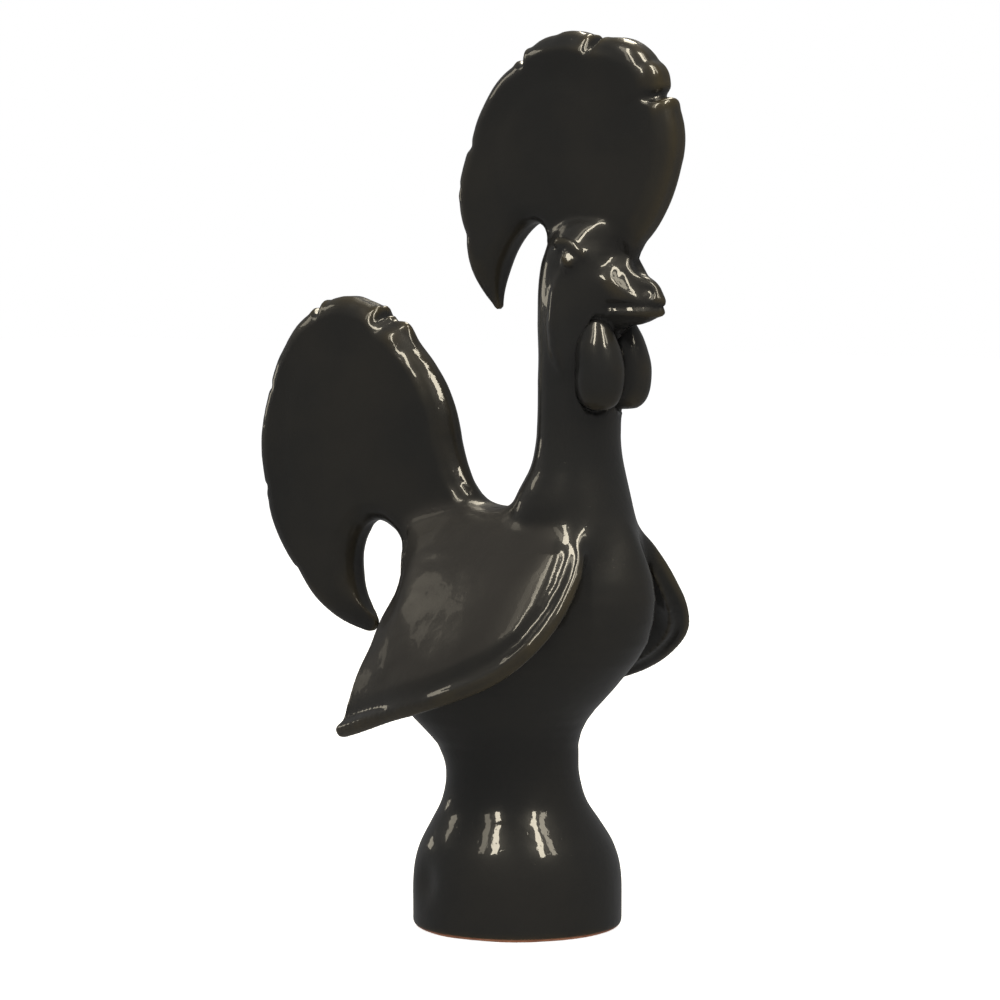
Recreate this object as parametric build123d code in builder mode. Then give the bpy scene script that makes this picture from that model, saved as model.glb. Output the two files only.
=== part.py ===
from build123d import *
import os

# A rooster of Barcelos in glazed earthenware. It is built hollow, from a bell shaped pedestal,
# a body, a neck and a head, with the comb, tail, wings, beak, wattles, ears, brows and eyes
# formed apart and luted on with slip. It faces +X, its left side is +Y and it stands on Z = 0,
# with the origin at the centre of the foot. Sizes are in millimetres.

# Clay and cutting forms
wall = 5.0                     # thickness of the hollow pieces
overrun = 2.0                  # how far a cutting form runs past what it cuts

# Pedestal, a bell thrown on the wheel
foot_radius = 28.9
foot_rounding = 1.6
shoulder_radius = 28.2
shoulder_height = 18.0
bell_radius = 23.2
bell_height = 29.5
waist_radius = 18.4
waist_height = 42.5
vent_radius = 1.9              # the pinhole that lets air out of the body in the kiln

# Body, an egg with its blunt end at the breast
body_height = 72.5             # from the waist up to the saddle
body_length = 83.6
body_width = 53.2

# Neck
neck_radius = 11.6
neck_height = 43.0             # from the saddle up to the seam under the head
neck_forward = 21.4            # from the pedestal's axis to the neck's
neck_seat = 9.0                # how far the flare reaches down over the shoulders

# Head
head_length = 30.6
head_width = 24.6
head_height = 37.0

# Comb, a scalloped plate that stands on the head in the plane of symmetry
comb_length = 72.7
comb_height = 75.6
comb_thickness = 12.0
comb_rim = 4.6                 # how far the rounding of its rim reaches in
comb_overhang = 40.3           # from the neck's axis back to the comb's rear edge
comb_sink = 25.2               # from the top of the head down to the tip of the comb's hook

# Tail, a larger plate of the same kind on the rear of the body
tail_length = 84.3
tail_height = 95.1
tail_thickness = 12.6
tail_rim = 4.8
tail_overhang = 91.3           # from the pedestal's axis back to the tail's rear edge
tail_sink = 37.1               # from the saddle down to the tip of the tail's hook

# Wings, two flaps that flare out from the shoulders to a rolled lip
wing_length = 72.0
wing_height = 59.0
wing_reach = 44.7              # from the plane of symmetry out to the lip
wing_thickness = 5.6
wing_rear = 36.0               # from the pedestal's axis back to the wing's rear edge
wing_drop = 60.0               # from the saddle down to the wing's tip
wing_lip = 2.3                 # radius of the lip

# Beak
beak_length = 17.0
beak_width = 17.0
upper_beak_height = 14.0
lower_beak_height = 6.6
mouth_height = 14.0            # from the head's seam up to the mouth

# Wattles
wattle_radius = 6.45
wattle_height = 24.0
wattle_forward = 13.2          # from the neck's axis
wattle_apart = 13.2            # between the axes of the two
wattle_rise = 9.5              # how far their roots reach up past the head's seam
wattle_belly_share = 0.70      # where they are widest, down from the root
wattle_root_share = 0.40       # radius of the root

# Eyes, brows and earlobes
eye_radius = 2.6
eye_forward = 5.1
eye_apart = 23.4
eye_height = 25.8
brow_radius = 1.4
brow_length = 8.6
brow_gap = 4.2                 # from the middle of the eye up to the brow
lobe_length = 29.0
lobe_width = 6.6
lobe_thickness = 5.0
lobe_apart = 22.8
lobe_forward = 1.2

# Heights of the seams
saddle_height = waist_height + body_height
neck_top = saddle_height + neck_height
head_top = neck_top + head_height
bore_radius = neck_radius - wall

# Level sections of the turned and pinched forms, from the bottom up. Each has its height as a
# share of the form's height, its centre as a share of the form's length counted from the
# form's axis, and its half length and half width as shares of the form's.
body_shares = [
    (0.000, 0.000, 0.440, 0.692), (0.103, -0.038, 0.474, 0.711), (0.200, -0.073, 0.610, 0.827),
    (0.287, -0.063, 0.734, 0.902), (0.379, -0.044, 0.849, 0.966), (0.517, -0.007, 0.967, 1.000),
    (0.683, 0.016, 1.000, 0.925), (0.821, 0.018, 0.957, 0.759), (0.931, 0.042, 0.849, 0.553),
    (1.000, 0.138, 0.610, 0.395),
]
neck_shares = [
    (0.000, -0.100, 1.600, 1.290), (0.077, -0.120, 1.660, 1.460), (0.173, -0.115, 1.530, 1.430),
    (0.288, -0.085, 1.370, 1.340), (0.404, -0.020, 1.165, 1.160), (0.519, 0.000, 1.055, 1.050),
    (0.654, 0.000, 1.010, 1.010), (1.000, 0.000, 1.000, 1.000),
]
head_shares = [
    (0.000, 0.000, 0.758, 0.943), (0.216, 0.026, 0.824, 0.967), (0.378, 0.078, 0.935, 0.992),
    (0.541, 0.118, 1.000, 1.000), (0.703, 0.137, 0.967, 0.959), (0.838, 0.157, 0.850, 0.837),
    (0.946, 0.183, 0.621, 0.585), (1.000, 0.199, 0.327, 0.309),
]
lobe_shares = [
    (0.000, 0.300, 0.270, 0.260), (0.070, 0.230, 0.640, 0.640), (0.220, 0.080, 0.950, 0.950),
    (0.500, -0.060, 1.000, 1.000), (0.820, 0.050, 0.850, 0.850), (1.000, 0.250, 0.450, 0.420),
]

# Upright sections of the two halves of the beak, from the root to the tip. Each has its place
# along the beak, its half width, and the heights of its edge and its crown over the mouth.
upper_beak_shares = [
    (0.000, 1.000, 0.000, 1.000), (0.500, 0.780, 0.000, 0.850), (0.640, 0.660, -0.010, 0.620),
    (0.830, 0.420, -0.030, 0.380), (0.930, 0.240, -0.050, 0.170), (1.000, 0.090, -0.070, 0.000),
]
lower_beak_shares = [
    (0.000, 0.850, -0.020, -1.000), (0.500, 0.640, -0.140, -0.850), (0.780, 0.380, -0.220, -0.620),
    (0.950, 0.150, -0.290, -0.440),
]

# Outlines of the two plates, each a chain of arcs: corner, top of the arc, corner, and so on
# anticlockwise. Each point has its place as shares of the plate's length and height, then the
# share of the rim's rounding that it takes, then how far the rounding pulls it to the hook's
# root, as a share of the way.
comb_shares = [
    (0.776, 0.188, 1.0, 0.0), (0.915, 0.345, 1.0, 0.0), (0.985, 0.512, 1.0, 0.0),
    (1.000, 0.631, 1.0, 0.0), (0.970, 0.729, 1.0, 0.0), (0.934, 0.749, 1.0, 0.0),
    (0.895, 0.749, 1.0, 0.0), (0.934, 0.804, 1.0, 0.0), (0.887, 0.881, 1.0, 0.0),
    (0.780, 0.960, 1.0, 0.0), (0.645, 0.957, 0.9, 0.0), (0.590, 0.997, 1.0, 0.0),
    (0.461, 0.997, 1.0, 0.0), (0.359, 0.964, 1.0, 0.0), (0.298, 0.894, 0.9, 0.0),
    (0.151, 0.799, 1.0, 0.0), (0.059, 0.601, 0.9, 0.0), (0.000, 0.439, 0.9, 0.0),
    (0.037, 0.271, 0.7, 0.1), (0.052, 0.159, 0.4, 0.3), (0.150, 0.012, 0.0, 0.75),
    (0.165, 0.000, 0.0, 0.75), (0.175, 0.019, 0.0, 0.75), (0.215, 0.183, 0.4, 0.3),
    (0.323, 0.299, 0.8, 0.0), (0.381, 0.311, 1.0, 0.0), (0.428, 0.275, 0.9, 0.0),
    (0.590, 0.148, 0.0, 0.0),
]
comb_hook_share = (0.125, 0.200)
tail_shares = [
    (1.000, 0.369, 1.0, 0.0), (0.898, 0.466, 1.0, 0.0), (0.839, 0.595, 1.0, 0.0),
    (0.748, 0.788, 1.0, 0.0), (0.563, 0.919, 0.9, 0.0), (0.527, 0.967, 1.0, 0.0),
    (0.451, 0.994, 1.0, 0.0),
    (0.362, 1.000, 1.0, 0.0), (0.260, 0.964, 0.9, 0.0), (0.128, 0.883, 1.0, 0.0),
    (0.049, 0.733, 0.9, 0.0), (0.000, 0.579, 1.0, 0.0), (0.025, 0.411, 0.9, 0.0),
    (0.063, 0.280, 1.0, 0.0), (0.172, 0.158, 0.8, 0.0), (0.288, 0.053, 0.5, 0.2),
    (0.437, 0.000, 0.0, 0.5), (0.476, 0.011, 0.0, 0.5), (0.471, 0.045, 0.0, 0.5),
    (0.397, 0.168, 0.5, 0.2), (0.440, 0.299, 0.9, 0.0), (0.488, 0.333, 1.0, 0.0),
    (0.549, 0.329, 1.0, 0.0), (0.609, 0.290, 1.0, 0.0), (0.656, 0.222, 1.0, 0.0),
    (0.846, 0.201, 0.0, 0.0),
]
tail_hook_share = (0.270, 0.220)

# Upright sections of the wing, from the rear forward. Each has its place along the wing's
# length, then the top, middle and bottom of its outer curve as shares of the reach and height.
wing_section_shares = [
    (-0.056, (0.080, 0.940), (0.440, 0.500), (0.709, -0.042)),
    (0.000, (0.100, 0.960), (0.480, 0.515), (0.738, -0.025)),
    (0.361, (0.150, 1.030), (0.700, 0.610), (0.953, 0.051)),
    (0.653, (0.190, 1.045), (0.750, 0.635), (1.020, 0.161)),
    (0.889, (0.230, 1.030), (0.635, 0.700), (0.906, 0.314)),
    (1.000, (0.240, 1.000), (0.523, 0.708), (0.872, 0.398)),
    (1.083, (0.240, 0.960), (0.470, 0.695), (0.860, 0.381)),
]
# Centre line of the lip, from the neck round to the tip, as shares of length, reach and height
lip_shares = [
    (0.933, 0.291, 0.941), (0.958, 0.380, 0.831), (0.972, 0.510, 0.708), (0.969, 0.638, 0.597),
    (0.925, 0.790, 0.461), (0.822, 0.870, 0.346), (0.653, 0.962, 0.241), (0.389, 0.895, 0.141),
    (0.222, 0.819, 0.080), (0.097, 0.749, 0.036), (0.028, 0.705, 0.012),
]
# The rest of the wing's outline, up the rear edge and forward along the back
wing_back_shares = [(0.028, 0.950), (0.292, 1.060), (0.639, 1.080), (0.889, 1.060)]


def drawn_in(points, rows, amount, hook):
    """Move an outline's points in along its normals, and those of a hook to the hook's root."""
    moved = []
    for i, (x, z) in enumerate(points):
        before, after = points[i - 1], points[(i + 1) % len(points)]
        along = Vector(after[0] - before[0], after[1] - before[1]).normalized()
        inset, pull = rows[i][2] * amount[0], rows[i][3] * amount[1]
        moved.append((
            x - along.Y * inset + (hook[0] - x) * pull,
            z + along.X * inset + (hook[1] - z) * pull,
        ))
    return moved


def lobed_plate(rows, hook_share, corner, length, height, thickness, rim):
    """Loft a plate through copies of its outline that draw in towards its two faces."""
    points = [(corner[0] + row[0] * length, corner[1] + row[1] * height) for row in rows]
    hook = (corner[0] + hook_share[0] * length, corner[1] + hook_share[1] * height)
    level_shares = (-1.0, -0.93, -0.78, -0.45, 0.45, 0.78, 0.93, 1.0)
    sections = []
    for share in level_shares:
        rounding = 1 - (1 - abs(share) ** 4) ** 0.5
        outline = drawn_in(points, rows, (rounding * rim, rounding), hook)
        with BuildSketch(Plane.XZ.offset(share * thickness / 2)) as section:
            with BuildLine():
                for i in range(0, len(outline), 2):
                    ThreePointArc(outline[i], outline[i + 1], outline[(i + 2) % len(outline)])
            make_face()
        sections.append(section.sketch)
    loft(sections, ruled=True)


def eased(rows):
    """Add a row halfway between each two, on a smooth curve through them all."""
    result = []
    last = len(rows) - 1
    for i in range(last):
        before, start = rows[max(i - 1, 0)], rows[i]
        end, after = rows[i + 1], rows[min(i + 2, last)]
        halfway = tuple(
            (9 * (b + c) - a - d) / 16 for a, b, c, d in zip(before, start, end, after)
        )
        result += [start, halfway]
    return result + [rows[-1]]


def ellipse_stack(rows, foot, height, length, width, inset=0.0):
    """Loft a form through its level sections, with its axis at the foot."""
    sections = []
    for rise, shift, half_length, half_width in rows:
        centre = (foot[0] + shift * length, foot[1], foot[2] + rise * height)
        with BuildSketch(Plane(centre)) as section:
            Ellipse(half_length * length / 2 - inset, half_width * width / 2 - inset)
        sections.append(section.sketch)
    loft(sections, ruled=True)


def beak_half(rows, mouth, length, width, height):
    """Loft half a beak forward through arched sections that stand on the line of the mouth."""
    sections = []
    for along, half_width, edge, crown in rows:
        reach = half_width * width / 2
        with BuildSketch(Plane.YZ.offset(mouth[0] + along * length)) as section:
            with BuildLine():
                low = mouth[1] + edge * height
                Line((-reach, low), (reach, low))
                ThreePointArc((reach, low), (0, mouth[1] + crown * height), (-reach, low))
            make_face()
        sections.append(section.sketch)
    loft(sections)


os.makedirs("parts", exist_ok=True)

# Filled forms of the body, neck and head, used to seat the pieces that are luted to them
with BuildPart() as body_form:
    ellipse_stack(eased(body_shares), (0, 0, waist_height), body_height, body_length, body_width)

with BuildPart() as neck_form:
    ellipse_stack(
        eased(neck_shares), (neck_forward, 0, saddle_height - neck_seat),
        neck_height + neck_seat, 2 * neck_radius, 2 * neck_radius,
    )

with BuildPart() as head_form:
    ellipse_stack(
        eased(head_shares), (neck_forward, 0, neck_top), head_height, head_length, head_width
    )

with BuildPart() as body_hollow:
    ellipse_stack(
        body_shares, (0, 0, waist_height + wall), body_height - 2 * wall,
        body_length, body_width, wall,
    )

with BuildPart() as head_hollow:
    ellipse_stack(
        head_shares[:-2], (neck_forward, 0, neck_top), head_height - wall,
        head_length, head_width, wall,
    )

with BuildPart() as pedestal:
    with BuildSketch(Plane.XZ):
        with BuildLine():
            Line((foot_radius - wall, 0), (foot_radius, 0))
            Line((foot_radius, 0), (foot_radius, shoulder_height / 2))
            Spline(
                (foot_radius, shoulder_height / 2), (shoulder_radius, shoulder_height),
                (bell_radius, bell_height), (waist_radius, waist_height),
                tangents=((0, 1), (0, 1)),
            )
            Line((waist_radius, waist_height), (waist_radius - wall, waist_height))
            Spline(
                (waist_radius - wall, waist_height), (bell_radius - wall, bell_height),
                (shoulder_radius - wall, shoulder_height), (foot_radius - wall, 0),
            )
        make_face()
    revolve(axis=Axis.Z)
    rims = pedestal.edges().filter_by(GeomType.CIRCLE).group_by(Axis.Z)[0]
    fillet(rims, foot_rounding)
pedestal.part.label = "pedestal"

with BuildPart() as torso:
    add(body_form.part)
    add(body_hollow.part, mode=Mode.SUBTRACT)
    with BuildSketch(Plane.XY.offset(waist_height - overrun)):
        Circle(vent_radius)
    extrude(amount=wall + 2 * overrun, mode=Mode.SUBTRACT)
    with BuildSketch(Plane.XY.offset(saddle_height - 2 * wall)):
        with Locations((neck_forward, 0)):
            Circle(bore_radius)
    extrude(amount=2 * wall + overrun, mode=Mode.SUBTRACT)
torso.part.label = "torso"

with BuildPart() as neck:
    add(neck_form.part)
    add(body_form.part, mode=Mode.SUBTRACT)
    with BuildSketch(Plane.XY.offset(saddle_height - neck_seat)):
        with Locations((neck_forward, 0)):
            Circle(bore_radius)
    extrude(amount=neck_height + neck_seat + overrun, mode=Mode.SUBTRACT)
neck.part.label = "neck"

with BuildPart() as head:
    add(head_form.part)
    add(head_hollow.part, mode=Mode.SUBTRACT)
head.part.label = "head"

with BuildPart() as comb:
    lobed_plate(
        comb_shares, comb_hook_share, (neck_forward - comb_overhang, head_top - comb_sink),
        comb_length, comb_height, comb_thickness, comb_rim,
    )
    add(head_form.part, mode=Mode.SUBTRACT)
comb.part.label = "comb"

with BuildPart() as tail:
    lobed_plate(
        tail_shares, tail_hook_share, (-tail_overhang, saddle_height - tail_sink),
        tail_length, tail_height, tail_thickness, tail_rim,
    )
    add(body_form.part, mode=Mode.SUBTRACT)
tail.part.label = "tail"

wing_foot = saddle_height - wing_drop
with BuildPart() as right_wing:
    for place, *outer in wing_section_shares:
        curve = [(-reach * wing_reach, wing_foot + rise * wing_height) for reach, rise in outer]
        inner = [(y + wing_thickness, z - wing_thickness / 3) for y, z in reversed(curve)]
        with BuildSketch(Plane.YZ.offset(place * wing_length - wing_rear)):
            with BuildLine():
                ThreePointArc(*curve)
                Line(curve[-1], inner[0])
                ThreePointArc(*inner)
                Line(inner[-1], curve[0])
            make_face()
    loft()
    lip_points = [
        (along * wing_length - wing_rear, -reach * wing_reach, wing_foot + rise * wing_height)
        for along, reach, rise in lip_shares
    ]
    back_points = [
        (along * wing_length - wing_rear, wing_foot + rise * wing_height)
        for along, rise in wing_back_shares
    ]
    with BuildSketch(Plane.XZ):
        with BuildLine():
            Spline(*[(x, z) for x, y, z in lip_points])
            Polyline((lip_points[-1][0], lip_points[-1][2]), *back_points,
                     (lip_points[0][0], lip_points[0][2]))
        make_face()
    extrude(amount=2 * wing_reach, both=True, mode=Mode.INTERSECT)
    with BuildLine():
        lip_path = Spline(*lip_points)
    with BuildSketch(Plane(origin=lip_path @ 0, z_dir=lip_path % 0)):
        Circle(wing_lip)
    sweep()
    with Locations(lip_points[-1]):
        Sphere(wing_lip)
    add(body_form.part, mode=Mode.SUBTRACT)
    add(neck_form.part, mode=Mode.SUBTRACT)
    add(tail.part, mode=Mode.SUBTRACT)
right_wing.part.label = "right_wing"

mouth_level = neck_top + mouth_height
beak_root = neck_forward + head_length / 2 - beak_length / 4
with BuildPart() as upper_beak:
    beak_half(
        upper_beak_shares, (beak_root, mouth_level), beak_length, beak_width, upper_beak_height
    )
    add(head_form.part, mode=Mode.SUBTRACT)
    add(comb.part, mode=Mode.SUBTRACT)
upper_beak.part.label = "upper_beak"

with BuildPart() as lower_beak:
    beak_half(
        lower_beak_shares, (beak_root, mouth_level), beak_length, beak_width, lower_beak_height
    )
    add(head_form.part, mode=Mode.SUBTRACT)
    add(upper_beak.part, mode=Mode.SUBTRACT)
lower_beak.part.label = "lower_beak"

with BuildPart() as right_wattle:
    wattle_top = neck_top + wattle_rise
    hanging = Plane(
        (neck_forward + wattle_forward, -wattle_apart / 2, 0), x_dir=(1, 0, 0), z_dir=(0, -1, 0)
    )
    with BuildSketch(hanging):
        with BuildLine():
            drop = Spline(
                (0, wattle_top - wattle_height),
                (wattle_radius, wattle_top - wattle_belly_share * wattle_height),
                (wattle_root_share * wattle_radius, wattle_top),
                tangents=((1, 0), (-wattle_root_share, 1)),
            )
            Polyline(drop @ 1, (0, wattle_top), drop @ 0)
        make_face()
    revolve(axis=Axis((neck_forward + wattle_forward, -wattle_apart / 2, 0), (0, 0, 1)))
    add(neck_form.part, mode=Mode.SUBTRACT)
    add(head_form.part, mode=Mode.SUBTRACT)
    add(lower_beak.part, mode=Mode.SUBTRACT)
    add(upper_beak.part, mode=Mode.SUBTRACT)
right_wattle.part.label = "right_wattle"

eye_centre = (neck_forward + eye_forward, -eye_apart / 2, neck_top + eye_height)
with BuildPart() as right_eye:
    with Locations(eye_centre):
        Sphere(eye_radius)
    add(head_form.part, mode=Mode.SUBTRACT)
right_eye.part.label = "right_eye"

with BuildPart() as right_brow:
    brow_level = eye_centre[2] + brow_gap
    with BuildLine():
        brow_path = ThreePointArc(
            (eye_centre[0] - brow_length / 2, eye_centre[1], brow_level + brow_length / 16),
            (eye_centre[0] - brow_length / 16, eye_centre[1], brow_level),
            (eye_centre[0] + brow_length / 2, eye_centre[1], brow_level - brow_length / 3),
        )
    with BuildSketch(Plane(origin=brow_path @ 0, z_dir=brow_path % 0)):
        Circle(brow_radius)
    sweep()
    with Locations(brow_path @ 0, brow_path @ 1):
        Sphere(brow_radius)
    add(head_form.part, mode=Mode.SUBTRACT)
    add(right_eye.part, mode=Mode.SUBTRACT)
right_brow.part.label = "right_brow"

with BuildPart() as right_earlobe:
    ellipse_stack(
        lobe_shares,
        (neck_forward + lobe_forward, -lobe_apart / 2, eye_centre[2] - eye_radius - lobe_length),
        lobe_length, lobe_width, lobe_thickness,
    )
    for form in (neck_form, head_form, right_eye):
        add(form.part, mode=Mode.SUBTRACT)
right_earlobe.part.label = "right_earlobe"

# The left hand pieces mirror the right hand ones
twins = []
for piece in (right_wing, right_wattle, right_eye, right_brow, right_earlobe):
    with BuildPart() as twin:
        mirror(piece.part, about=Plane.XZ)
    twin.part.label = piece.part.label.replace("right", "left")
    twins.append(twin)

pieces = [
    pedestal, torso, neck, head, comb, tail, right_wing, upper_beak, lower_beak,
    right_wattle, right_eye, right_brow, right_earlobe,
]
for piece in pieces + twins:
    export_step(piece.part, f"parts/{piece.part.label}.step")
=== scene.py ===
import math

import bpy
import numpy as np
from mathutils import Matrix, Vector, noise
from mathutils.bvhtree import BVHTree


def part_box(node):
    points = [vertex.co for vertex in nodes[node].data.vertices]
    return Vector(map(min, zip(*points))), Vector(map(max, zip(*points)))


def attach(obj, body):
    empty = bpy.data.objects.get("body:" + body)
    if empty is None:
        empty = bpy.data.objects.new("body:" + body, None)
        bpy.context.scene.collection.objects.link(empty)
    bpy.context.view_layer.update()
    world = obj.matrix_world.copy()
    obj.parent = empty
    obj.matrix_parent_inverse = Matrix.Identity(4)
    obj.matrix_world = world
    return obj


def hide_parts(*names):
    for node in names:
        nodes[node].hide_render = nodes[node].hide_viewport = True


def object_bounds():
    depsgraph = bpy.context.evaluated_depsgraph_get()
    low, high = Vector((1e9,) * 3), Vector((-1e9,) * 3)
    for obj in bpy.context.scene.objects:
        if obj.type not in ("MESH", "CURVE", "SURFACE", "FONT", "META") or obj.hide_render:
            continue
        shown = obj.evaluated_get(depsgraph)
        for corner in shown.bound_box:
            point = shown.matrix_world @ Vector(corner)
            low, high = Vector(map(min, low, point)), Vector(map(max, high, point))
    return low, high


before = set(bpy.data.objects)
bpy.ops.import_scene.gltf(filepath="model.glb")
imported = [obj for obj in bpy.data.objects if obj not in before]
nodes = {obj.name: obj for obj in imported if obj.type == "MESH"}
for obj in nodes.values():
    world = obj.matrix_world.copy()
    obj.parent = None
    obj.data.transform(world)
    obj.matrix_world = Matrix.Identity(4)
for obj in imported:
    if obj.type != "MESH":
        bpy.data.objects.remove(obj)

# %% [markdown]
# # A black-glazed rooster of Barcelos
# The clay pieces come from the frame: a bell-shaped pedestal, a hollow body, neck and head, and
# a comb, tail, wings, beak, wattles, ears, brows and eyes that were luted on with wet slip.
# Under a thick glaze those seams can't be seen as lines. The clay flows from one piece into the
# next, and the glaze pools in the hollows and thins over the edges. The lesson is how to get
# that flow from separate solids, how to model a finger's work on the clay with a few lines of
# numpy, and how to light a black gloss that shows mostly reflections.

cad_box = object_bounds()
scene = bpy.context.scene
MM = 0.001
print("CAD box in mm", [[round(v / MM, 1) for v in corner] for corner in cad_box])
print("pieces", len(nodes))

# %% [markdown]
# ## From many solids to one skin
# The potter smears slip over every joint, so the joints turn into small hollows. A Boolean
# union would keep them sharp. A voxel remesh of all the solids together gives one even mesh
# with square faces of one size, which is just what smoothing needs: the same number of
# smoothing steps then rounds every joint by the same width. The pieces are copied first, so
# the frame's own solids stay as they are. The body's pinhole gets a plug half way up. Then the
# remesh takes the closed hollow for solid clay, and no faces are spent where nobody can see.

# %% Gather copies of the solids and remesh them
voxel = 0.7 * MM
names = sorted(nodes)
solid_points, solid_faces, solid_owner = [], [], []
for index, name in enumerate(names):
    node = nodes[name]
    start = len(solid_points)
    solid_points += [node.matrix_world @ v.co for v in node.data.vertices]
    for polygon in node.data.polygons:
        solid_faces.append([start + i for i in polygon.vertices])
        solid_owner.append(index)

waist_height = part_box("torso")[0][2]
plug_levels, half = (waist_height + 2.5 * MM, waist_height + 7 * MM), 3 * MM
plug_corners = ((-half, -half), (half, -half), (half, half), (-half, half))
plug_points = [Vector((x, y, z)) for z in plug_levels for x, y in plug_corners]
plug_faces = [(3, 2, 1, 0), (4, 5, 6, 7), (0, 1, 5, 4), (1, 2, 6, 5), (2, 3, 7, 6), (3, 0, 4, 7)]
start = len(solid_points)
clay = bpy.data.meshes.new("gathered clay")
clay.from_pydata(
    solid_points + plug_points, [],
    solid_faces + [[start + i for i in face] for face in plug_faces],
)
skin = bpy.data.objects.new("skin", clay)
scene.collection.objects.link(skin)
remesh = skin.modifiers.new("one skin", "REMESH")
remesh.mode = "VOXEL"
remesh.voxel_size = voxel
graph = bpy.context.evaluated_depsgraph_get()
skin_mesh = bpy.data.meshes.new_from_object(skin.evaluated_get(graph))
bpy.data.objects.remove(skin)
print("skin", len(skin_mesh.vertices), "points", len(skin_mesh.polygons), "faces")

# %% [markdown]
# ## Which piece each point belongs to
# The one skin is cut back into its pieces later, so each point remembers the solid whose
# surface is nearest. A search tree over the gathered solids answers that quickly. Where two
# neighbouring points belong to different pieces there is a seam, and from there a weight
# falls off ring by ring. That weight says where the slip was smoothed.

# %% Read the skin into arrays and label its points
def read(collection, attribute, width, kind=float):
    """One array with a row for each item of a mesh."""
    values = np.empty(len(collection) * width, dtype=kind)
    collection.foreach_get(attribute, values)
    return values.reshape(-1, width) if width > 1 else values


def ends_of(chosen):
    """True for the points at either end of the chosen edges."""
    marked = np.zeros(count, dtype=bool)
    marked[edge_a[chosen]] = True
    marked[edge_b[chosen]] = True
    return marked


tree = BVHTree.FromPolygons(solid_points, solid_faces)
points = read(skin_mesh.vertices, "co", 3)
owner = np.array([solid_owner[tree.find_nearest(Vector(p))[2]] for p in points])
edge_a, edge_b = read(skin_mesh.edges, "vertices", 2, np.int32).astype(np.int64).T
quads = read(skin_mesh.loops, "vertex_index", 1, np.int32).astype(np.int64).reshape(-1, 4)
count = len(points)
neighbours = np.bincount(edge_a, minlength=count) + np.bincount(edge_b, minlength=count)
seam_edge = owner[edge_a] != owner[edge_b]
on_seam = ends_of(seam_edge)
print("points on seams", int(on_seam.sum()))

# %% Helpers that spread a value over the mesh
def spread_mean(values):
    """The mean of each point's neighbours, for numbers or for rows of numbers."""
    if values.ndim > 1:
        return np.stack([spread_mean(column) for column in values.T], axis=1)
    total = np.bincount(edge_a, values[edge_b], count) + np.bincount(edge_b, values[edge_a], count)
    return total / np.maximum(neighbours, 1)


def softened(values, rounds):
    """A value spread out over the mesh in a number of rounds."""
    for _ in range(rounds):
        values = spread_mean(values)
    return values


def falloff(mask, rings):
    """A weight of 1 on the mask that falls to 0 over a number of rings."""
    weight = mask.astype(float)
    for ring in range(rings):
        level = 1 - (ring + 1) / rings
        near = np.zeros(count)
        np.maximum.at(near, edge_a, weight[edge_b])
        np.maximum.at(near, edge_b, weight[edge_a])
        weight = np.where((weight == 0) & (near > 0), level, weight)
    return weight


def smoothed(values, weight, steps, push=0.0):
    """Move the points towards the mean of their neighbours, and partly back again."""
    for _ in range(steps):
        for factor in (0.5, -push):
            if factor:
                values = values + factor * weight[:, None] * (spread_mean(values) - values)
    return values


def belongs(*kinds):
    """True for the points of the pieces whose name ends in one of the kinds."""
    return np.isin(owner, [i for i, n in enumerate(names) if n.endswith(kinds)])


# %% [markdown]
# ## Smooth the clay
# Two kinds of smoothing are needed. A light pass over everything melts the small steps of the
# solids, as a wet sponge does. A strong pass works only near the seams, and fills each one
# with a soft hollow. Plain smoothing pulls a form in, so the light pass is followed by a
# matching push back out. Large joints were filled with a thick roll of slip and small trim was
# only pressed on, so each kind of piece has its own strength.

# %% Sponge the whole surface, then the seams
seam_strengths = {
    "comb": 0.25, "wattle": 0.55, "beak": 0.6, "earlobe": 0.3, "brow": 0.15, "eye": 0.03,
}
push_back = 0.52
everywhere = np.ones(count)
points = smoothed(points, everywhere, 6, push=push_back)
strength = np.ones(count)
for kind, amount in seam_strengths.items():
    strength = np.where(falloff(belongs(kind) & on_seam, 5) > 0, amount, strength)
strength = softened(strength, 2)
points = smoothed(points, falloff(on_seam, 10) * strength, 60)
points = smoothed(points, everywhere, 3, push=push_back)
print("mean slip strength on the seams", round(float(strength[on_seam].mean()), 2))

# %% [markdown]
# ## Normals and weights
# The sculpting steps push points along the surface's normal, so the normals are worked out
# from the quads: the cross product of a quad's diagonals points straight out, and is longer
# for a larger quad, so large faces count for more. How far a point is pushed depends on its
# distance from a place or a line, or on where it lies in millimetres. Three short functions
# turn such a distance into a weight.

# %% Normals of the skin
def normals_of(values):
    """A unit normal for each point."""
    a, b, c, d = (values[quads[:, i]] for i in range(4))
    across = np.cross(c - a, d - b)
    total = np.zeros((count, 3))
    for corner in range(4):
        for axis in range(3):
            total[:, axis] += np.bincount(quads[:, corner], across[:, axis], count)
    return total / np.maximum(np.linalg.norm(total, axis=1), 1e-12)[:, None]


print("normals", len(normals_of(points)))

# %% Weights from distances
def bump(distance, width):
    """A soft hill: 1 at no distance, near 0 at twice the width."""
    return np.exp(-((distance / width) ** 2))


def stepped(values, low, high):
    """0 below low, 1 above high, and a smooth step between."""
    t = np.clip((values - low) / (high - low), 0, 1)
    return t * t * (3 - 2 * t)


def fading(values, low, high):
    """1 below low, 0 above high, and a smooth step between."""
    return 1 - stepped(values, low, high)


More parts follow.
